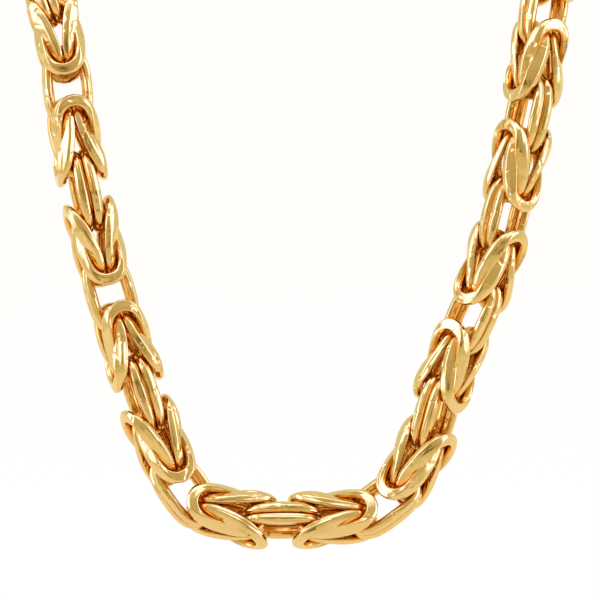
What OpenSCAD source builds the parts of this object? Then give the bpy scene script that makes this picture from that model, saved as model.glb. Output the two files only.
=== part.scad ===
/* [Chain] */
// side of the square that the chain fills, across its flared links
chain_w = 10; // [9.8:0.1:11]
// outer length of a link
link_l = 15.8; // [15.4:0.1:16.6]
// outer width of a link
link_w = 9.1; // [9:0.1:9.6]
// thickness of a link's wire in the plane of its ring
wire_w = 1.84; // [1.4:0.02:1.86]
// thickness of a link's wire across its ring
wire_t = 1.84; // [1.4:0.02:1.86]

/* [Loop] */
// width of the loop at the sides of the neck
neck_w = 116; // [104:2:130]
// depth of the loop from the nape to its lowest point in front
loop_d = 118; // [106:2:130]
// height of the nape above the lowest point of the chain's centre line
loop_h = 166; // [154:2:178]

/* [Clasp] */
// side of the clasp's square body
clasp_w = 9.6; // [8:0.2:11]

/* [Hidden] */
gold = [0.86, 0.66, 0.3];

// links: half of the wire's width in the ring's plane and across it, and half of the wire's ring
wire_in = wire_w / 2;
wire_out = wire_t / 2;
mid_l = link_l / 2 - wire_in;
mid_w = link_w / 2 - wire_in;

// a quarter of the ring: shares of its half length and half width, and of the wire's thickness there
ALONG = 0;
ACROSS = 1;
THICK = 2;
ring_rows = [
  [0.00, 1.00, 1.00],
  [0.70, 0.90, 0.95],
  [1.00, 0.36, 0.67]
];

// the wire's section, flat outside and with a ridge inside: shares of its two half widths
OUTWARD = 0;
SIDEWAYS = 1;
wire_rows = [
  [1.00, 0.45],
  [-0.15, 1.00],
  [-1.00, 0.00],
  [-0.15, -1.00],
  [1.00, -0.45]
];
wire_end = ring_rows[2][THICK] * wire_out;

// clearances: between the two links of a pair, and between a knot's start and the pair that it hooks
pair_gap = 0.16;
start_gap = 0.23;
hook_gap = 1.72;

// weave, from a knot's middle: where its links start and end, and the distance to the next pair
pair_x = wire_out + pair_gap / 2;
hook_x = wire_end + start_gap / 2;
flare_x = chain_w / 2 - wire_end - 0.28;
lean = asin((flare_x - hook_x) / (2 * mid_l));
flare_z = 7.23;
hook_z = 2 * mid_l * cos(lean) - flare_z;
half_pitch = hook_z + mid_l - 2 * wire_in - hook_gap;

// where a pair swings, measured from the middle of the knot beside it: in its ring's plane and out of it
swing_in = 6.6;
swing_out = 4.6;

// how far the clasp's ends stay behind the middles of the stations after the last pairs, and its cut edges
clasp_set = 0.3;
clasp_edge = 1.2;

// the loop's centre line: shares of neck_w, loop_d and loop_h, way that the front face looks, its roll
SIDE = 0;
BACK = 1;
UP = 2;
FACING = 3;
ROLL = 4;
route = [
  [0.000, 0.000, 0.000, -270, 0],
  [-0.235, -0.045, -0.016, -240, 6],
  [-0.395, -0.180, -0.048, -212, 12],
  [-0.465, -0.365, -0.100, -186, 17],
  [-0.474, -0.540, -0.175, -170, 20],
  [-0.460, -0.705, -0.270, -150, 21],
  [-0.425, -0.815, -0.360, -128, 21],
  [-0.391, -0.875, -0.428, -108, 18],
  [-0.373, -0.900, -0.487, -97, 14],
  [-0.352, -0.925, -0.577, -91, 12],
  [-0.317, -0.945, -0.693, -90, 14],
  [-0.272, -0.965, -0.803, -90, 18],
  [-0.218, -0.982, -0.911, -90, 23],
  [-0.180, -0.991, -0.966, -90, 27],
  [-0.110, -0.998, -0.992, -90, 29],
  [-0.023, -1.000, -0.991, -90, 31],
  [0.056, -0.999, -0.997, -90, 31],
  [0.136, -0.993, -0.985, -90, 31],
  [0.190, -0.983, -0.937, -90, 34],
  [0.250, -0.966, -0.826, -90, 39],
  [0.310, -0.948, -0.719, -90, 44],
  [0.353, -0.928, -0.605, -90, 50],
  [0.384, -0.905, -0.492, -90, 57],
  [0.396, -0.880, -0.428, -82, 62],
  [0.428, -0.820, -0.360, -65, 70],
  [0.462, -0.710, -0.270, -40, 78],
  [0.474, -0.545, -0.175, -20, 84],
  [0.465, -0.365, -0.100, 0, 90],
  [0.395, -0.180, -0.048, 30, 90],
  [0.235, -0.045, -0.016, 60, 90],
  [0.000, 0.000, 0.000, 90, 90]
];

// a smooth curve through the rows, in short steps
steps = 8;
last = len(route) - 1;
function row(i) =
  let (r = route[min(max(i, 0), last)])
  [r[SIDE] * neck_w, r[BACK] * loop_d, r[UP] * loop_h, r[FACING], r[ROLL]];
function blend(a, b, c, d, t) =
  (2 * b + (c - a) * t + (2 * a - 5 * b + 4 * c - d) * t * t + (3 * b - a - 3 * c + d) * t * t * t) / 2;
curve = [
  for (i = [0:last - 1], k = [0:steps - 1])
    blend(i == 0 ? 2 * row(0) - row(1) : row(i - 1), row(i), row(i + 1),
      i == last - 1 ? 2 * row(last) - row(last - 1) : row(i + 2), k / steps),
  row(last)
];
function place(r) = [r[SIDE], r[BACK], r[UP]];
run = [
  for (i = 0, s = 0; i < len(curve); i = i + 1, s = s + (i < len(curve) ? norm(place(curve[i]) - place(curve[i - 1])) : 0))
    s
];
total = run[len(run) - 1];
side_at = [for (i = [0:len(run) - 1]) [run[i], curve[i][SIDE]]];
back_at = [for (i = [0:len(run) - 1]) [run[i], curve[i][BACK]]];
up_at = [for (i = [0:len(run) - 1]) [run[i], curve[i][UP]]];
facing_at = [for (i = [0:len(run) - 1]) [run[i], curve[i][FACING]]];
roll_at = [for (i = [0:len(run) - 1]) [run[i], curve[i][ROLL]]];
function on_route(s) = [lookup(s, side_at), lookup(s, back_at), lookup(s, up_at)];

// stations: pairs have even numbers and knots odd ones, counted from the lowest pair
lowest = 0.4955 * total;
function station(j) = lowest + j * half_pitch;
function unit(v) = v / norm(v);
function along(s) = unit(on_route(s + half_pitch) - on_route(s - half_pitch));
function front(s) =
  let (t = along(s), a = lookup(s, facing_at), f = [cos(a), sin(a), 0], n = unit(f - (f * t) * t), r = lookup(s, roll_at))
  n * cos(r) + cross(n, t) * sin(r);
clasp_min = 3.6 * chain_w;
pairs_a_side = floor((total - clasp_min) / 2 / (2 * half_pitch));

// a pair swings on its neighbours: its line runs between points on their axes, which differ for the two ways it bends
function across(a, b, n, d) = ((b - a) * n) / ((b - a) * d);
function pair_line(j) =
  let (
    c1 = on_route(station(j - 1)),
    c2 = on_route(station(j + 1)),
    t1 = along(station(j - 1)),
    t2 = along(station(j + 1)),
    d = unit(c2 - c1),
    f = front(station(j)),
    n = unit(f - (f * d) * d),
    x = cross(n, d),
    w = ring_turn(j) == 90 ? n : x,
    m = ring_turn(j) == 90 ? x : n,
    mid = (c1 + c2) / 2,
    a1 = c1 + swing_in * t1,
    a2 = c2 - swing_in * t2,
    b1 = c1 + swing_out * t1,
    b2 = c2 - swing_out * t2,
    c = mid + (((a1 + a2) / 2 - mid) * w) * w + (((b1 + b2) / 2 - mid) * m) * m
  )
  [c, unit(d + across(a1, a2, w, d) * w + across(b1, b2, m, d) * m), n];
function ring_turn(j) = j % 4 == 0 ? 90 : 0;

// a frame with its middle at c, z along t and y toward f
function frame_of(c, t, f) =
  let (n = unit(f - (f * t) * t), x = cross(n, t))
  [
    [x[0], n[0], t[0], c[0]],
    [x[1], n[1], t[1], c[1]],
    [x[2], n[2], t[2], c[2]],
    [0, 0, 0, 1]
  ];
function station_frame(j) = frame_of(on_route(station(j)), along(station(j)), front(station(j)));
function pair_frame(j) = let (line = pair_line(j)) frame_of(line[0], line[1], line[2]);

// a link stands along z with its ring's width along x, and gets thinner toward its two ends
function ring_place(i, way, side) =
  [side * ring_rows[i][ACROSS] * mid_w, way * ring_rows[i][ALONG] * mid_l, ring_rows[i][THICK]];
ring = [
  for (i = [0, 1, 2]) ring_place(i, 1, 1),
  for (i = [2, 1, 0]) ring_place(i, 1, -1),
  for (i = [1, 2]) ring_place(i, -1, -1),
  for (i = [2, 1]) ring_place(i, -1, 1)
];
stops = len(ring);
sides = len(wire_rows);
function flat_place(i) = [ring[i % stops][0], ring[i % stops][1]];
link_points = [
  for (i = [0:stops - 1])
    let (
      before = unit(flat_place(i) - flat_place(i + stops - 1)),
      after = unit(flat_place(i + 1) - flat_place(i)),
      way = unit(before + after),
      out = [way[1], -way[0]] / (way * before)
    )
    for (w = wire_rows)
      [
        ring[i][0] + out[0] * w[OUTWARD] * wire_in,
        w[SIDEWAYS] * wire_out * ring[i][2],
        ring[i][1] + out[1] * w[OUTWARD] * wire_in
      ]
];
link_faces = [
  for (i = [0:stops - 1], k = [0:sides - 1])
    let (
      a = i * sides + k,
      b = i * sides + (k + 1) % sides,
      c = (i + 1) % stops * sides + k,
      d = (i + 1) % stops * sides + (k + 1) % sides
    )
    each [[a, d, b], [a, c, d]]
];

// places of links, as matrices
function turned(a) = [[cos(a), -sin(a), 0, 0], [sin(a), cos(a), 0, 0], [0, 0, 1, 0], [0, 0, 0, 1]];
function leaning(a) = [[cos(a), 0, sin(a), 0], [0, 1, 0, 0], [-sin(a), 0, cos(a), 0], [0, 0, 0, 1]];
function moved(v) = [[1, 0, 0, v[0]], [0, 1, 0, v[1]], [0, 0, 1, v[2]], [0, 0, 0, 1]];

// two links side by side
function pair() = [for (side = [-1, 1]) moved([0, side * pair_x, 0])];

// two links that start together in a pair and flare apart to two faces of the chain
function flared() = [
  for (side = [0, 180])
    turned(side) * moved([(hook_x + flare_x) / 2, 0, (flare_z - hook_z) / 2]) * leaning(lean) * turned(90)
];
function knot() = concat(flared(), [for (m = flared()) leaning(180) * turned(90) * m]);
function element(j) =
  j % 2 == 0
    ? [for (m = pair()) pair_frame(j) * turned(ring_turn(j)) * m]
    : [for (m = knot()) station_frame(j) * turned(ring_turn(j - 1)) * m];

// every link of a stretch of the chain, each one a closed ring that passes clear through its neighbours
module strand(from, to) {
  places = [for (j = [from:to]) each element(j)];
  polyhedron(
    points = [for (m = places, p = link_points) let (q = m * [p[0], p[1], p[2], 1]) [q[0], q[1], q[2]]],
    faces = [for (i = [0:len(places) - 1], f = link_faces) [for (v = f) v + i * stops * sides]],
    convexity = 10
  );
}

module chain_left() {
  color(gold)
    strand(-2 * pairs_a_side, 0);
}

module chain_right() {
  color(gold)
    strand(1, 2 * pairs_a_side);
}

// one plain closed box with a loop at each end, through the last pair of each strand
module clasp() {
  j = 2 * pairs_a_side + 1;
  last_left = on_route(station(-j));
  last_right = on_route(station(j));
  color(gold)
    union() {
      multmatrix(frame_of((last_left + last_right) / 2, unit(last_left - last_right), [0, 1, 0]))
        clasp_body(norm(last_left - last_right) - 2 * clasp_set);
      for (end = [-1, 1])
        multmatrix(station_frame(end * j))
          rotate([0, 0, ring_turn(j - 1) - 90])
            translate([0, 0, end * (mid_w - hook_z)])
              rotate([90, 0, 0])
                rotate_extrude($fn = 48)
                  translate([mid_w, 0])
                    circle(r = wire_in, $fn = 24);
    }
}

module clasp_body(l) {
  intersection() {
    rotate([90, 0, 0])
      linear_extrude(height = clasp_w, center = true)
        clasp_outline(l);
    rotate([90, 0, 90])
      linear_extrude(height = clasp_w, center = true)
        clasp_outline(l);
  }
}

module clasp_outline(l) {
  h = clasp_w / 2;
  polygon([
    [h, l / 2 - clasp_edge],
    [h - clasp_edge, l / 2],
    [clasp_edge - h, l / 2],
    [-h, l / 2 - clasp_edge],
    [-h, clasp_edge - l / 2],
    [clasp_edge - h, -l / 2],
    [h - clasp_edge, -l / 2],
    [h, clasp_edge - l / 2]
  ]);
}

chain_left();
chain_right();
clasp();
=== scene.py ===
import math
import random

import bmesh
import bpy
from mathutils import Matrix, Vector


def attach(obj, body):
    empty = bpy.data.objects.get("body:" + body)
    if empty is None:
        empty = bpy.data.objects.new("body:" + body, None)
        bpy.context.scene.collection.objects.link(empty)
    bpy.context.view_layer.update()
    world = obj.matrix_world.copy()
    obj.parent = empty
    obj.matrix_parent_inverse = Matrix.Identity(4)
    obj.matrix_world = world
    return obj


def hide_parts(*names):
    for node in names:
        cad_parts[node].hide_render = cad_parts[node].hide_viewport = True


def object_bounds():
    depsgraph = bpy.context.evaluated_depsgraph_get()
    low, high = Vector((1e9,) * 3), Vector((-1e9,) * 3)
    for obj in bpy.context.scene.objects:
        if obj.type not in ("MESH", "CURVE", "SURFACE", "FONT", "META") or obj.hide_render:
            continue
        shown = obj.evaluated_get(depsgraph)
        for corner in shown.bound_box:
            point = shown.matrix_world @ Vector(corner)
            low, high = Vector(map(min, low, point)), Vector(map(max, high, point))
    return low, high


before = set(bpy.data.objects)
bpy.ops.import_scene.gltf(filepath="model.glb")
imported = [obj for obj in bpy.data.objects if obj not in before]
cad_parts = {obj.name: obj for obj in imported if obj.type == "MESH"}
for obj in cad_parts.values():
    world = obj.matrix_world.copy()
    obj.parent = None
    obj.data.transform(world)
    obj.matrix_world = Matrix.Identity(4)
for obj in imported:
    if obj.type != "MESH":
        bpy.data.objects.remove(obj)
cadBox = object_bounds()
mm = 0.001
print("frame loaded")


# the way that the chain takes, as in the source, in millimetres

weave = {
    "chainWidth": 10.0,
    "linkLength": 15.8,
    "linkWidth": 9.1,
    "wire": 1.84,
    "wireAtEnds": 0.67,  # share of the wire's thickness
    "pairGap": 0.16,
    "startGap": 0.23,
    "flareGap": 0.28,
    "hookPlay": 1.72,
    "flareHeight": 7.23,
    "swingIn": 6.6,  # from a knot's middle to where the next pair swings, in its ring's plane
    "swingOut": 4.6,  # and out of that plane
    "lowestAt": 0.4955,  # share of the way round
    "claspRoom": 3.6,  # in widths of the chain
}

loop = {
    "neckWidth": 116.0,
    "depth": 118.0,
    "height": 166.0,
    # shares of width, depth and height, the way that the front face looks and its roll, in degrees
    "route": [
        (0.000, 0.000, 0.000, -270, 0),
        (-0.235, -0.045, -0.016, -240, 6),
        (-0.395, -0.180, -0.048, -212, 12),
        (-0.465, -0.365, -0.100, -186, 17),
        (-0.474, -0.540, -0.175, -170, 20),
        (-0.460, -0.705, -0.270, -150, 21),
        (-0.425, -0.815, -0.360, -128, 21),
        (-0.391, -0.875, -0.428, -108, 18),
        (-0.373, -0.900, -0.487, -97, 14),
        (-0.352, -0.925, -0.577, -91, 12),
        (-0.317, -0.945, -0.693, -90, 14),
        (-0.272, -0.965, -0.803, -90, 18),
        (-0.218, -0.982, -0.911, -90, 23),
        (-0.180, -0.991, -0.966, -90, 27),
        (-0.110, -0.998, -0.992, -90, 29),
        (-0.023, -1.000, -0.991, -90, 31),
        (0.056, -0.999, -0.997, -90, 31),
        (0.136, -0.993, -0.985, -90, 31),
        (0.190, -0.983, -0.937, -90, 34),
        (0.250, -0.966, -0.826, -90, 39),
        (0.310, -0.948, -0.719, -90, 44),
        (0.353, -0.928, -0.605, -90, 50),
        (0.384, -0.905, -0.492, -90, 57),
        (0.396, -0.880, -0.428, -82, 62),
        (0.428, -0.820, -0.360, -65, 70),
        (0.462, -0.710, -0.270, -40, 78),
        (0.474, -0.545, -0.175, -20, 84),
        (0.465, -0.365, -0.100, 0, 90),
        (0.395, -0.180, -0.048, 30, 90),
        (0.235, -0.045, -0.016, 60, 90),
        (0.000, 0.000, 0.000, 90, 90),
    ],
    "steps": 8,  # stretches between two rows of the route
}

halfWire = weave["wire"] / 2
midLength = weave["linkLength"] / 2 - halfWire
midWidth = weave["linkWidth"] / 2 - halfWire
endWire = weave["wireAtEnds"] * halfWire
pairSide = halfWire + weave["pairGap"] / 2
hookSide = endWire + weave["startGap"] / 2
flareSide = weave["chainWidth"] / 2 - endWire - weave["flareGap"]
lean = math.asin((flareSide - hookSide) / (2 * midLength))
hookHeight = 2 * midLength * math.cos(lean) - weave["flareHeight"]
halfPitch = hookHeight + midLength - 2 * halfWire - weave["hookPlay"]


def routeRow(i):
    sizes = (loop["neckWidth"], loop["depth"], loop["height"], 1, 1)
    return [share * size for share, size in zip(loop["route"][i], sizes)]


def rowBeyond(end, inside):
    return [2 * a - b for a, b in zip(routeRow(end), routeRow(inside))]


def smoothBetween(a, b, c, d, t):  # from b at 0 to c at 1, with slopes that a and d set
    return [
        (2 * q + (r - p) * t + (2 * p - 5 * q + 4 * r - s) * t * t
         + (3 * q - p - 3 * r + s) * t ** 3) / 2
        for p, q, r, s in zip(a, b, c, d)
    ]


def routeCurve():
    last = len(loop["route"]) - 1
    rows = []
    for i in range(last):
        before = routeRow(i - 1) if i > 0 else rowBeyond(0, 1)
        after = routeRow(i + 2) if i < last - 1 else rowBeyond(last, last - 1)
        for k in range(loop["steps"]):
            rows.append(smoothBetween(before, routeRow(i), routeRow(i + 1), after, k / loop["steps"]))
    rows.append(routeRow(last))
    return rows


curveRows = routeCurve()
runLengths = [0.0]
for earlier, later in zip(curveRows, curveRows[1:]):
    runLengths.append(runLengths[-1] + (Vector(later[:3]) - Vector(earlier[:3])).length)
totalLength = runLengths[-1]


def atRun(run):  # the route's row this far along it
    run = min(max(run, 0.0), totalLength)
    i = max(k for k, reached in enumerate(runLengths) if reached <= run)
    i = min(i, len(runLengths) - 2)
    share = (run - runLengths[i]) / (runLengths[i + 1] - runLengths[i])
    return [a + (b - a) * share for a, b in zip(curveRows[i], curveRows[i + 1])]


def stationRun(j):  # pairs stand at even stations, knots at odd ones
    return weave["lowestAt"] * totalLength + j * halfPitch


def placeAt(run):
    return Vector(atRun(run)[:3])


def alongAt(run):
    return (placeAt(run + halfPitch) - placeAt(run - halfPitch)).normalized()


def squareTo(way, axis):  # the part of a way that is square to the axis
    return (way - way.dot(axis) * axis).normalized()


def frontAt(run):  # where the front face of the chain looks
    row = atRun(run)
    facing, roll = math.radians(row[3]), math.radians(row[4])
    axis = alongAt(run)
    normal = squareTo(Vector((math.cos(facing), math.sin(facing), 0)), axis)
    return normal * math.cos(roll) + normal.cross(axis) * math.sin(roll)


def frameOf(middle, axis, front):
    normal = squareTo(front, axis)
    side = normal.cross(axis)
    return Matrix((
        (side.x, normal.x, axis.x, middle.x),
        (side.y, normal.y, axis.y, middle.y),
        (side.z, normal.z, axis.z, middle.z),
        (0, 0, 0, 1),
    ))


def knotFrame(j):
    run = stationRun(j)
    return frameOf(placeAt(run), alongAt(run), frontAt(run))


def ringTurn(j):  # each pair is turned a quarter against the last
    return 90 if j % 4 == 0 else 0


def pairFrame(j):  # a pair swings on the knots beside it, its own way in each of its planes
    first, second = placeAt(stationRun(j - 1)), placeAt(stationRun(j + 1))
    firstAxis, secondAxis = alongAt(stationRun(j - 1)), alongAt(stationRun(j + 1))
    axis = (second - first).normalized()
    normal = squareTo(frontAt(stationRun(j)), axis)
    side = normal.cross(axis)
    flat, deep = (normal, side) if ringTurn(j) == 90 else (side, normal)
    middle = (first + second) / 2
    innerA, innerB = first + weave["swingIn"] * firstAxis, second - weave["swingIn"] * secondAxis
    outerA, outerB = first + weave["swingOut"] * firstAxis, second - weave["swingOut"] * secondAxis
    centre = middle + ((innerA + innerB) / 2 - middle).dot(flat) * flat
    centre += ((outerA + outerB) / 2 - middle).dot(deep) * deep
    way = axis + (innerB - innerA).dot(flat) / (innerB - innerA).dot(axis) * flat
    way += (outerB - outerA).dot(deep) / (outerB - outerA).dot(axis) * deep
    return frameOf(centre, way.normalized(), normal)


def turned(degrees, axis="Z"):
    return Matrix.Rotation(math.radians(degrees), 4, axis)


def shifted(x, y, z):
    return Matrix.Translation((x, y, z))


def pairPlaces(j):  # two links side by side
    return [pairFrame(j) @ turned(ringTurn(j) + half) @ shifted(0, pairSide, 0) for half in (0, 180)]


def knotPlaces(j):  # two links that flare apart, and two more the other way round
    out = []
    inFlare = shifted((hookSide + flareSide) / 2, 0, (weave["flareHeight"] - hookHeight) / 2)
    inFlare = inFlare @ Matrix.Rotation(lean, 4, "Y") @ turned(-90)
    base = knotFrame(j) @ turned(ringTurn(j - 1))
    for fold in (Matrix.Identity(4), turned(180, "Y") @ turned(90)):
        for half in (0, 180):
            out.append(base @ fold @ turned(half) @ inFlare)
    return out


pairsASide = int((totalLength - weave["claspRoom"] * weave["chainWidth"]) / 2 // (2 * halfPitch))
print("route", round(totalLength, 2), "mm, pairs a side", pairsASide)


# choosing corners and edges in edit mode, joining and counting

near = 1e-3  # lengths closer than this count as equal


def pickVerts(piece, wanted):
    cage = bmesh.from_edit_mesh(piece.data)
    for vert in cage.verts:
        vert.select = wanted(vert)
    cage.select_flush_mode()
    bmesh.update_edit_mesh(piece.data, loop_triangles=False, destructive=False)


def pickEdges(piece, wanted):
    cage = bmesh.from_edit_mesh(piece.data)
    for vert in cage.verts:
        vert.select = False
    for edge in cage.edges:
        edge.select = wanted(edge)
    for edge in cage.edges:
        if edge.select:
            edge.verts[0].select = edge.verts[1].select = True
    bmesh.update_edit_mesh(piece.data, loop_triangles=False, destructive=False)


def joinPieces(pieces, name):
    bpy.ops.object.select_all(action="DESELECT")
    for piece in pieces:
        piece.select_set(True)
    bpy.context.view_layer.objects.active = pieces[0]
    bpy.ops.object.join()
    whole = bpy.context.object
    whole.name = whole.data.name = name
    return whole


def countTriangles(piece):
    return sum(len(face.vertices) - 2 for face in piece.data.polygons)


# links, each modelled once in millimetres, standing along z with its outer face toward +y

ringLook = {
    "pair": {
        # share of the half length, then the wire's reach outward, inward, to its outer and its inner face
        "rows": [
            (-1.0, 1.00, 1.00, 0.62, 1.00),
            (-0.75, 1.00, 1.04, 1.00, 1.00),
            (0.0, 0.96, 1.12, 1.42, 0.98),
            (0.75, 1.00, 1.04, 1.00, 1.00),
            (1.0, 1.00, 1.00, 0.62, 1.00),
        ],
        "sections": ["round", "spindle", "round"],  # at its start, middle and end
        "crease": {},
        "faceCut": None,
        "edgeWidth": 0.0,
    },
    "knot": {
        "rows": [
            (-1.0, 0.98, 0.95, 0.74, 0.74),
            (-0.75, 0.94, 1.05, 0.82, 1.15),
            (-0.48, 0.88, 1.05, 0.76, 1.34),
            (0.0, 0.96, 1.12, 1.02, 1.50),
            (0.5, 1.04, 1.10, 1.46, 1.34),
            (0.75, 1.02, 1.20, 1.14, 1.08),
            (1.0, 1.04, 1.22, 0.95, 0.90),
        ],
        "sections": ["round", "leaf", "band"],
        "crease": {"middle": 0.65, "end": 0.55},
        "faceCut": 4.84,  # how far from the chain's middle the flared end may reach
        "rimDrop": 0.18,  # how much lower that end's rim lies
        "edgeWidth": 0.10,  # of the bevel along sharp edges
    },
}

# six corners of the wire's section from the rim round to the hole: shares in the ring's plane and across it
wireSections = {
    "round": [(1.0, 0.0), (0.5, 0.87), (-0.5, 0.87), (-1.0, 0.0), (-0.5, -0.87), (0.5, -0.87)],
    "spindle": [(1.0, 0.0), (0.62, 0.80), (-0.40, 0.95), (-1.0, 0.0), (-0.40, -0.95), (0.62, -0.80)],
    "leaf": [(1.04, -0.22), (-0.25, 1.0), (-0.62, 0.60), (-1.0, 0.0), (-0.35, -1.0), (0.72, -0.94)],
    "band": [(1.0, 0.05), (0.80, 0.82), (-0.70, 1.0), (-1.0, 0.0), (-0.6, -0.9), (0.6, -0.9)],
}

ringShape = {
    "ringCorners": 12,
    "wireCorners": 6,
    "barEdge": 0.9,  # edges taller than this share of the bar's half length are part of a bar
    "swell": (1.14, 1.18),  # the rounding takes this much off again
    # shares of the half length: where the middle section begins to change, and the stretch it takes
    "startChange": (0.48, 0.47),
    "endChange": (0.55, 0.45),
    # from which share to which, and the corners that are creased there
    "creasedParts": {"middle": (-0.6, 0.6, (0, 1, 5)), "end": (0.6, 1.1, (1, 2))},
    "sharpAngle": 30.0,  # degrees; sharper edges are bevelled
}

barRise = midLength - midWidth  # half the length of a link's straight bars


def mixed(a, b, t):
    return [p + (q - p) * t for p, q in zip(a, b)]


def rowAt(look, share):
    rows = look["rows"]
    low, high = next(pair for pair in zip(rows, rows[1:]) if share <= pair[1][0] + near)
    t = (share - low[0]) / (high[0] - low[0])
    t = t * t * (3 - 2 * t) * 0.5 + t * 0.5  # half eased, half straight
    return mixed(low[1:], high[1:], t)


def sectionAt(look, share):
    start, middle, end = (wireSections[name] for name in look["sections"])
    other = end if share > 0 else start
    begin, stretch = ringShape["endChange"] if share > 0 else ringShape["startChange"]
    t = min(max((abs(share) - begin) / stretch, 0), 1)
    return [mixed(p, q, t) for p, q in zip(middle, other)]


def wireMiddle(co):  # the wire's middle and its outward way, where this corner is
    if abs(co.z) <= barRise + near:
        side = 1 if co.x > 0 else -1
        return Vector((side * midWidth, 0, co.z)), Vector((side, 0, 0))
    end = 1 if co.z > 0 else -1
    step = 2 * math.pi / ringShape["ringCorners"]
    angle = round(math.atan2(abs(co.z) - barRise, co.x) / step) * step
    way = Vector((math.cos(angle), 0, end * math.sin(angle)))
    return Vector((0, 0, end * barRise)) + midWidth * way, way


def drawOval(name):
    bpy.ops.object.select_all(action="DESELECT")
    bpy.ops.mesh.primitive_torus_add(
        major_segments=ringShape["ringCorners"], minor_segments=ringShape["wireCorners"],
        major_radius=midWidth, minor_radius=halfWire, rotation=(math.pi / 2, 0, 0))
    ring = bpy.context.object
    ring.name = name
    bpy.ops.object.transform_apply(location=True, rotation=True, scale=True)
    bpy.ops.object.mode_set(mode="EDIT")
    bpy.ops.mesh.select_mode(type="VERT")
    for way in (1, -1):  # a round ring drawn out into an oval
        pickVerts(ring, lambda v: v.co.z * way > near)
        bpy.ops.transform.translate(value=(0, 0, way * barRise))
    bpy.ops.mesh.select_mode(type="EDGE")
    tall = barRise * ringShape["barEdge"]
    pickEdges(ring, lambda e: abs(e.verts[0].co.z - e.verts[1].co.z) > tall)
    bpy.ops.mesh.subdivide(number_cuts=1, smoothness=0)
    bpy.ops.mesh.select_mode(type="VERT")
    return ring


def placeCorners(ring, look):
    cage = bmesh.from_edit_mesh(ring.data)
    step = 2 * math.pi / ringShape["wireCorners"]
    swellOut, swellAcross = ringShape["swell"]
    cornerOf = {}
    moves = {}
    for vert in cage.verts:
        middle, way = wireMiddle(vert.co)
        offset = vert.co - middle
        corner = round(math.atan2(offset.y, offset.dot(way)) / step) % ringShape["wireCorners"]
        share = max(-1.0, min(1.0, middle.z / midLength))
        outward, inward, outer, inner = rowAt(look, share)
        out, across = sectionAt(look, share)[corner]
        target = middle + way * out * (outward if out > 0 else inward) * swellOut
        target.y = across * (outer if across > 0 else inner) * swellAcross
        if look["faceCut"] and across > 0:  # the outer face of the flared end lies square to the chain
            limit = look["faceCut"] - (hookSide + flareSide) / 2 - target.z * math.sin(lean)
            drop = look["rimDrop"] if corner == 1 else 0
            target.y = min(target.y, limit / math.cos(lean) - drop)
        cornerOf[vert.index] = corner
        moves[vert.index] = target - vert.co
    for index, move in moves.items():
        pickVerts(ring, lambda v: v.index == index)
        bpy.ops.transform.translate(value=move)
    return cornerOf


def creaseEdges(ring, look, cornerOf):
    bpy.ops.mesh.select_mode(type="EDGE")
    for part, depth in look["crease"].items():
        low, high, corners = ringShape["creasedParts"][part]

        def wanted(edge):
            first, second = (cornerOf[v.index] for v in edge.verts)
            share = (edge.verts[0].co.z + edge.verts[1].co.z) / 2 / midLength
            return first == second and first in corners and low < share <= high

        pickEdges(ring, wanted)
        bpy.ops.transform.edge_crease(value=depth)
    bpy.ops.mesh.select_mode(type="VERT")


def roundOff(ring, look):
    for step in ("shaped", "smoothed"):
        rounded = ring.modifiers.new(step, "SUBSURF")
        rounded.levels = rounded.render_levels = 1
        bpy.ops.object.modifier_apply(modifier=rounded.name)
        if step == "shaped" and look["edgeWidth"]:
            bpy.ops.object.mode_set(mode="EDIT")
            bpy.ops.mesh.select_mode(type="EDGE")
            bpy.ops.mesh.select_all(action="SELECT")
            bpy.ops.transform.edge_crease(value=-1)
            pickEdges(ring, lambda e: e.calc_face_angle(0) > math.radians(ringShape["sharpAngle"]))
            bpy.ops.mesh.bevel(offset=look["edgeWidth"], offset_type="OFFSET", segments=1)
            bpy.ops.object.mode_set(mode="OBJECT")


def modelRing(name, look):
    ring = drawOval(name)
    cornerOf = placeCorners(ring, look)
    creaseEdges(ring, look, cornerOf)
    bpy.ops.mesh.select_all(action="SELECT")
    bpy.ops.mesh.normals_make_consistent(inside=False)
    bpy.ops.object.mode_set(mode="OBJECT")
    roundOff(ring, look)
    size = ring.dimensions
    bpy.ops.object.mode_set(mode="EDIT")
    bpy.ops.mesh.select_all(action="SELECT")
    bpy.ops.transform.resize(
        value=(weave["linkWidth"] / size.x, 1, weave["linkLength"] / size.z), center_override=(0, 0, 0))
    bpy.ops.object.mode_set(mode="OBJECT")
    bpy.ops.object.shade_smooth()
    print(name, countTriangles(ring), "triangles")
    return ring


pairLink = modelRing("pairLink", ringLook["pair"])
knotLink = modelRing("knotLink", ringLook["knot"])


# strands, with a small tilt and slip of each link

strandLook = {
    "seed": 7,
    "tilt": 0.9,  # degrees
    "slip": 0.05,  # millimetres
}


def buildStrand(name, model, stations):
    chance = random.Random(strandLook["seed"] + stations[0])
    copies = []
    for j in stations:
        for place in (pairPlaces(j) if j % 2 == 0 else knotPlaces(j)):
            wobble = Matrix.Identity(4)
            for axis in "XYZ":
                wobble = wobble @ turned(chance.uniform(-strandLook["tilt"], strandLook["tilt"]), axis)
            slip = [chance.uniform(-strandLook["slip"], strandLook["slip"]) for axis in "XYZ"]
            copy = bpy.data.objects.new(name + "Link", model.data.copy())
            copy.data.transform(Matrix.Scale(mm, 4) @ place @ shifted(*slip) @ wobble)
            bpy.context.scene.collection.objects.link(copy)
            copies.append(copy)
    strand = joinPieces(copies, name)
    print(name, len(copies), "links,", countTriangles(strand), "triangles")
    return strand


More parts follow.
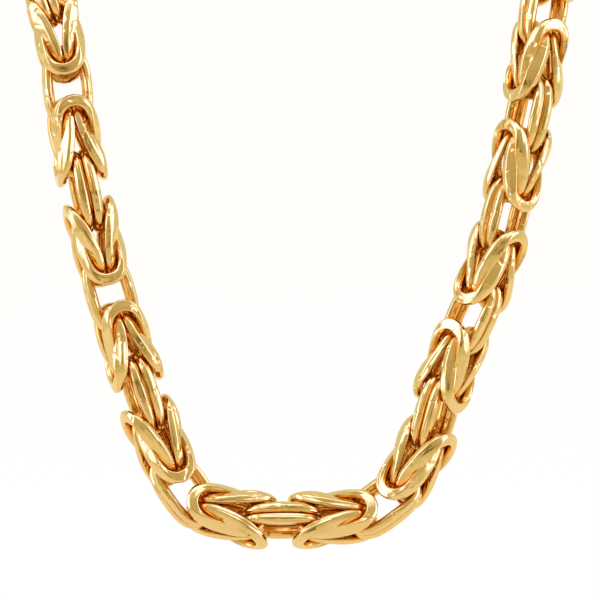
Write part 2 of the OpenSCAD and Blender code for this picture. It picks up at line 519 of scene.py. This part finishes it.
lastPair = 2 * pairsASide
leftPairs = buildStrand("leftPairs", pairLink, range(-lastPair, 1, 2))
leftHighKnots = buildStrand("leftHighKnots", knotLink, range(1 - lastPair, -pairsASide, 2))
leftLowKnots = buildStrand("leftLowKnots", knotLink, range(-pairsASide, 0, 2))
rightPairs = buildStrand("rightPairs", pairLink, range(2, lastPair + 1, 2))
rightLowKnots = buildStrand("rightLowKnots", knotLink, range(1, pairsASide, 2))
rightHighKnots = buildStrand("rightHighKnots", knotLink, range(pairsASide, lastPair, 2))
for model in (pairLink, knotLink):
    bpy.data.objects.remove(model)


# the plain clasp behind the neck, in millimetres

claspLook = {
    "side": 9.6,
    "setBack": 0.3,
    "endEdge": 1.164,
    "softEdge": 0.35,
    "softSteps": 4,
    "loopWire": 0.92,
    "loopCorners": (64, 20),
    "streakSpan": 0.2,  # how far the streaks turn between the middle of the box and its edges
}


def drawClaspBody(length):
    side = claspLook["side"]
    bpy.ops.object.select_all(action="DESELECT")
    bpy.ops.mesh.primitive_cube_add(size=1)
    body = bpy.context.object
    body.name = "claspBody"
    bpy.ops.object.mode_set(mode="EDIT")
    bpy.ops.mesh.select_mode(type="VERT")
    bpy.ops.mesh.select_all(action="SELECT")
    bpy.ops.transform.resize(value=(side, side, length))
    bpy.ops.mesh.select_mode(type="EDGE")
    pickEdges(body, lambda e: abs(e.verts[0].co.z - e.verts[1].co.z) < near)
    bpy.ops.mesh.bevel(offset=claspLook["endEdge"], offset_type="OFFSET", segments=1)
    bpy.ops.mesh.select_all(action="SELECT")
    bpy.ops.mesh.bevel(
        offset=claspLook["softEdge"], offset_type="OFFSET", segments=claspLook["softSteps"], profile=0.5)
    bpy.ops.mesh.select_all(action="SELECT")
    bpy.ops.mesh.normals_make_consistent(inside=False)
    bpy.ops.object.mode_set(mode="OBJECT")
    spots = body.data.uv_layers.active.data
    for corner in body.data.loops:  # polishing streaks run from end to end
        co = body.data.vertices[corner.vertex_index].co
        across = claspLook["streakSpan"] * (co.x + co.y) / side
        spots[corner.index].uv = (co.z / length + 0.5, 0.5 + across)
    return body


def drawClaspLoop():
    ringCorners, wireCorners = claspLook["loopCorners"]
    bpy.ops.object.select_all(action="DESELECT")
    bpy.ops.mesh.primitive_torus_add(
        major_segments=ringCorners, minor_segments=wireCorners, major_radius=midWidth,
        minor_radius=claspLook["loopWire"], rotation=(math.pi / 2, 0, 0))
    bpy.ops.object.transform_apply(location=True, rotation=True, scale=True)
    return bpy.context.object


def buildClasp():
    j = 2 * pairsASide + 1
    left, right = placeAt(stationRun(-j)), placeAt(stationRun(j))
    body = drawClaspBody((left - right).length - 2 * claspLook["setBack"])
    place = frameOf((left + right) / 2, (left - right).normalized(), Vector((0, 1, 0)))
    body.data.transform(Matrix.Scale(mm, 4) @ place)
    parts = [body]
    for end in (-1, 1):
        ear = drawClaspLoop()
        place = knotFrame(end * j) @ turned(ringTurn(j - 1) - 90)
        place = place @ shifted(0, 0, end * (midWidth - hookHeight))
        ear.data.transform(Matrix.Scale(mm, 4) @ place)
        parts.append(ear)
    clasp = joinPieces(parts, "claspBox")
    bpy.ops.object.shade_smooth()
    even = clasp.modifiers.new("evenNormals", "WEIGHTED_NORMAL")
    even.keep_sharp = True
    bpy.ops.object.modifier_apply(modifier=even.name)
    return clasp


claspBox = buildClasp()
print("clasp built")


# polished gold, lengths in metres

goldLook = {
    "colour": (0.87, 0.66, 0.26),
    "deepColour": (0.84, 0.60, 0.18),
    "edgeTint": (1.0, 0.86, 0.55),
    "roughness": (0.05, 0.11),
    "clearGloss": 0.5,
    "clearRoughness": 0.05,
    "waveSize": 300.0,
    "waveDetail": 1.5,
    "waveHeight": 0.0003,
    "streaks": (1.5, 7.0),  # along the wire and round it
    "streakShift": (12.0, 12.0, 60.0),
    "streakDetail": 1.0,
    "streakHeight": 0.0004,
    "dentSize": 520.0,
    "dentRange": (0.665, 0.78),
    "dentDepth": 0.0001,
    "grainSize": 2600.0,
    "grainDetail": 3.0,
    "grainRange": (0.3, 0.7),
    "grainHeight": 0.000001,
    "insideReflectionShare": 0.75,  # share of painted orange reflection and shade in the colour of a link's inner side
    "insideRange": (0.06, 0.17),
    "shadeReach": 0.004,
    "shadeSamples": 8,
    # painted shade and painted reflection colours, laid on where links crowd together
    "shadeColour": (0.86, 0.42, 0.05),
    "gapShadeColour": (0.50, 0.16, 0.015),
    "gapRoughness": 0.35,
    "gapWaves": 0.15,
    # how open a spot is, from 0 deep between the links to 1: where each change begins and ends
    "shadeRange": (0.40, 0.78),
    "gapRange": (0.08, 0.40),
    "dullRange": (0.25, 0.70),
    "clearRange": (0.35, 0.80),
    "waveRange": (0.25, 0.75),
}


def polishedGold():
    material = bpy.data.materials.new("polishedGold")
    material.use_nodes = True
    nodes, links = material.node_tree.nodes, material.node_tree.links
    nodes.clear()
    output = nodes.new("ShaderNodeOutputMaterial")
    shader = nodes.new("ShaderNodeBsdfPrincipled")
    shader.inputs["Metallic"].default_value = 1.0
    shader.inputs["Specular Tint"].default_value = (*goldLook["edgeTint"], 1)
    shader.inputs["Coat Roughness"].default_value = goldLook["clearRoughness"]
    place = nodes.new("ShaderNodeTexCoord")

    def noise(size, detail, vector):
        made = nodes.new("ShaderNodeTexNoise")
        made.inputs["Scale"].default_value = size
        made.inputs["Detail"].default_value = detail
        links.new(vector, made.inputs["Vector"])
        return made.outputs["Fac"]

    def remap(value, limits, first, last):
        made = nodes.new("ShaderNodeMapRange")
        for socket, number in zip(("From Min", "From Max", "To Min", "To Max"), (*limits, first, last)):
            made.inputs[socket].default_value = number
        links.new(value, made.inputs["Value"])
        return made.outputs["Result"]

    wave = noise(goldLook["waveSize"], goldLook["waveDetail"], place.outputs["Object"])
    grain = noise(goldLook["grainSize"], goldLook["grainDetail"], place.outputs["Object"])
    dent = noise(goldLook["dentSize"], 0.0, place.outputs["Object"])
    dent = remap(dent, goldLook["dentRange"], 0.0, 1.0)

    # polishing streaks run along each link's wire, and differ from link to link
    stretch = nodes.new("ShaderNodeMapping")
    stretch.inputs["Scale"].default_value = (*goldLook["streaks"], 1.0)
    links.new(place.outputs["UV"], stretch.inputs["Vector"])
    shift = nodes.new("ShaderNodeVectorMath")
    shift.operation = "MULTIPLY_ADD"
    shift.inputs[1].default_value = goldLook["streakShift"]
    links.new(place.outputs["Object"], shift.inputs[0])
    links.new(stretch.outputs["Vector"], shift.inputs[2])
    streak = noise(1.0, goldLook["streakDetail"], shift.outputs["Vector"])

    tone = nodes.new("ShaderNodeMix")
    tone.data_type = "RGBA"
    tone.inputs["A"].default_value = (*goldLook["colour"], 1)
    tone.inputs["B"].default_value = (*goldLook["deepColour"], 1)
    links.new(wave, tone.inputs["Factor"])
    colour = tone.outputs["Result"]

    # painted reflection and shade: orange on a link's inner side and where other links are near, and
    # red-brown painted shade deep between them
    crowd = nodes.new("ShaderNodeAmbientOcclusion")
    crowd.samples = goldLook["shadeSamples"]
    crowd.inputs["Distance"].default_value = goldLook["shadeReach"]
    openness = crowd.outputs["AO"]
    wrap = nodes.new("ShaderNodeSeparateXYZ")
    links.new(place.outputs["UV"], wrap.inputs["Vector"])
    # painted reflection and shade: the inner side of each link is tinted orange
    fromInside = nodes.new("ShaderNodeMath")
    fromInside.operation = "PINGPONG"
    fromInside.inputs[1].default_value = 0.5
    links.new(wrap.outputs["Y"], fromInside.inputs[0])
    inside = fromInside.outputs["Value"]
    masks = (
        ("shadeColour", remap(inside, goldLook["insideRange"], 1.0 - goldLook["insideReflectionShare"], 1.0)),
        ("shadeColour", remap(openness, goldLook["shadeRange"], 0.0, 1.0)),
        ("gapShadeColour", remap(openness, goldLook["gapRange"], 0.0, 1.0)),
    )
    # the painted shade and reflection masks are mixed over the gold's own colour
    for name, share in masks:
        tint = nodes.new("ShaderNodeMix")
        tint.data_type = "RGBA"
        tint.inputs["A"].default_value = (*goldLook[name], 1)
        links.new(share, tint.inputs["Factor"])
        links.new(colour, tint.inputs["B"])
        colour = tint.outputs["Result"]
    links.new(colour, shader.inputs["Base Color"])

    # duller where the polishing wheel doesn't reach
    dull = nodes.new("ShaderNodeMix")
    dull.inputs["A"].default_value = goldLook["gapRoughness"]
    links.new(remap(openness, goldLook["dullRange"], 0.0, 1.0), dull.inputs["Factor"])
    links.new(remap(grain, goldLook["grainRange"], *goldLook["roughness"]), dull.inputs["B"])
    links.new(dull.outputs["Result"], shader.inputs["Roughness"])
    clear = remap(openness, goldLook["clearRange"], 0.0, goldLook["clearGloss"])
    links.new(clear, shader.inputs["Coat Weight"])

    # waves, streaks, dents and grain, all weaker between the links
    strength = remap(openness, goldLook["waveRange"], goldLook["gapWaves"], 1.0)
    reliefs = (
        (wave, goldLook["waveHeight"]),
        (streak, goldLook["streakHeight"]),
        (dent, -goldLook["dentDepth"]),
        (grain, goldLook["grainHeight"]),
    )
    normal = None
    for height, distance in reliefs:
        bump = nodes.new("ShaderNodeBump")
        bump.inputs["Distance"].default_value = distance
        links.new(height, bump.inputs["Height"])
        links.new(strength, bump.inputs["Strength"])
        if normal:
            links.new(normal, bump.inputs["Normal"])
        normal = bump.outputs["Normal"]
    links.new(normal, shader.inputs["Normal"])
    links.new(shader.outputs["BSDF"], output.inputs["Surface"])
    return material


gold = polishedGold()
carried = [
    (leftPairs, "chain_left"),
    (leftHighKnots, "chain_left"),
    (leftLowKnots, "chain_left"),
    (rightPairs, "chain_right"),
    (rightHighKnots, "chain_right"),
    (rightLowKnots, "chain_right"),
    (claspBox, "clasp"),
]
for piece, node in carried:
    piece.data.materials.clear()
    piece.data.materials.append(gold)
    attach(piece, "root")
    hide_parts(node)
print("gold on")


# plain floor, soft light and the camera, in metres

studio = {
    "floorDrop": 0.32,
    "floorSize": 8.0,
    "floorCorners": 96,
    "floorRoughness": 0.9,
    "floorGlow": 0.32,
    # place from front to back, colour there: the floor is painted darker toward the front as painted shade,
    # and its glow is painted light
    "floorFront": (-0.6, (0.67, 0.61, 0.46)),
    "floorBack": (1.4, (0.93, 0.94, 0.97)),
    # share from straight in front to straight behind, colour of the soft light from there
    "sky": [
        (0.0, (0.20, 0.14, 0.07)),
        (0.02, (0.54, 0.43, 0.27)),
        (0.10, (0.65, 0.55, 0.38)),
        (0.24, (0.68, 0.62, 0.50)),
        (0.5, (0.78, 0.76, 0.72)),
        (1.0, (0.84, 0.84, 0.84)),
    ],
    # place, size across and up, power, all aimed at the chain
    "panels": {
        "leftPanel": ((-0.86, -0.43, 0.24), (0.9, 1.5), 7.4),
        "rightPanel": ((0.85, -0.40, 0.20), (0.8, 1.5), 6.5),
        "topPanel": ((0.0, -0.40, 0.75), (1.2, 0.8), 4.2),
    },
    "panelColour": (0.97, 0.935, 2.0),
    "panelFade": 0.34,  # share of a panel's width over which its light fades toward the edge
    "cameraTilt": 8.0,  # degrees
    "cameraAway": 1.5,
    "cameraWidth": 0.1111,  # of the picture, at the chain
    "cameraSensor": 36.0,  # millimetres
    "cameraClip": (0.05, 50.0),
    "aim": (0.00075, -0.11236, -0.12547),
}


def setRamp(ramp, stops):
    while len(ramp.elements) < len(stops):
        ramp.elements.new(0.5)
    for element, (place, colour) in zip(ramp.elements, stops):
        element.position = place
        element.color = (*colour, 1)


def addFloor():
    bpy.ops.object.select_all(action="DESELECT")
    bpy.ops.mesh.primitive_circle_add(
        vertices=studio["floorCorners"], radius=studio["floorSize"], fill_type="NGON",
        location=(0, 0, cadBox[0].z - studio["floorDrop"]))
    floor = bpy.context.object
    floor.name = "studioFloor"
    paint = bpy.data.materials.new("palePaper")
    paint.use_nodes = True
    nodes, links = paint.node_tree.nodes, paint.node_tree.links
    shader = nodes["Principled BSDF"]
    shader.inputs["Roughness"].default_value = studio["floorRoughness"]
    shader.inputs["Emission Strength"].default_value = studio["floorGlow"]
    place = nodes.new("ShaderNodeTexCoord")
    split = nodes.new("ShaderNodeSeparateXYZ")
    reach = nodes.new("ShaderNodeMapRange")
    (front, frontColour), (back, backColour) = studio["floorFront"], studio["floorBack"]
    reach.inputs["From Min"].default_value = front
    reach.inputs["From Max"].default_value = back
    fade = nodes.new("ShaderNodeValToRGB")
    fade.color_ramp.interpolation = "EASE"
    setRamp(fade.color_ramp, [(0.0, frontColour), (1.0, backColour)])
    links.new(place.outputs["Object"], split.inputs["Vector"])
    links.new(split.outputs["Y"], reach.inputs["Value"])
    links.new(reach.outputs["Result"], fade.inputs["Fac"])
    # painted shade on the floor, darker toward the front; the same colours glow as painted light
    links.new(fade.outputs["Color"], shader.inputs["Base Color"])
    links.new(fade.outputs["Color"], shader.inputs["Emission Color"])
    floor.data.materials.append(paint)


def addSky():
    world = bpy.data.worlds.new("studioSky")
    bpy.context.scene.world = world
    world.use_nodes = True
    nodes, links = world.node_tree.nodes, world.node_tree.links
    nodes.clear()
    output = nodes.new("ShaderNodeOutputWorld")
    light = nodes.new("ShaderNodeBackground")
    place = nodes.new("ShaderNodeTexCoord")
    split = nodes.new("ShaderNodeSeparateXYZ")
    reach = nodes.new("ShaderNodeMapRange")
    reach.inputs["From Min"].default_value = -1.0
    fade = nodes.new("ShaderNodeValToRGB")
    setRamp(fade.color_ramp, studio["sky"])
    links.new(place.outputs["Generated"], split.inputs["Vector"])
    links.new(split.outputs["Y"], reach.inputs["Value"])
    links.new(reach.outputs["Result"], fade.inputs["Fac"])
    links.new(fade.outputs["Color"], light.inputs["Color"])
    links.new(light.outputs["Background"], output.inputs["Surface"])


def fadeEdges(panel):
    panel.use_nodes = True
    nodes, links = panel.node_tree.nodes, panel.node_tree.links
    place = nodes.new("ShaderNodeNewGeometry")
    split = nodes.new("ShaderNodeSeparateXYZ")
    links.new(place.outputs["Parametric"], split.inputs["Vector"])
    both = nodes.new("ShaderNodeMath")
    both.operation = "MULTIPLY"
    for slot, axis in enumerate("XY"):
        fromEdge = nodes.new("ShaderNodeMath")
        fromEdge.operation = "PINGPONG"
        fromEdge.inputs[1].default_value = 0.5
        fade = nodes.new("ShaderNodeMapRange")
        fade.interpolation_type = "SMOOTHSTEP"
        fade.inputs["From Max"].default_value = studio["panelFade"]
        links.new(split.outputs[axis], fromEdge.inputs[0])
        links.new(fromEdge.outputs["Value"], fade.inputs["Value"])
        links.new(fade.outputs["Result"], both.inputs[slot])
    links.new(both.outputs["Value"], nodes["Emission"].inputs["Strength"])


def addLights():
    aim = Vector(studio["aim"])
    for name, (place, size, power) in studio["panels"].items():
        panel = bpy.data.lights.new(name, "AREA")
        panel.shape = "RECTANGLE"
        panel.size, panel.size_y = size
        panel.energy = power
        panel.color = studio["panelColour"]
        fadeEdges(panel)
        lamp = bpy.data.objects.new(name, panel)
        bpy.context.scene.collection.objects.link(lamp)
        lamp.location = place
        lamp.rotation_euler = (Vector(place) - aim).to_track_quat("Z", "Y").to_euler()


def addCamera():
    lens = bpy.data.cameras.new("photoCamera")
    eye = bpy.data.objects.new("photoCamera", lens)
    bpy.context.scene.collection.objects.link(eye)
    tilt = math.radians(studio["cameraTilt"])
    toward = Vector((0, -math.cos(tilt), math.sin(tilt)))
    eye.location = Vector(studio["aim"]) + studio["cameraAway"] * toward
    eye.rotation_euler = (math.pi / 2 - tilt, 0, 0)
    lens.sensor_width = studio["cameraSensor"]
    lens.lens = studio["cameraSensor"] * studio["cameraAway"] / studio["cameraWidth"]
    lens.clip_start, lens.clip_end = studio["cameraClip"]
    bpy.context.scene.camera = eye


addFloor()
addSky()
addLights()
addCamera()
bpy.context.scene.view_settings.view_transform = "Standard"
print("studio ready")
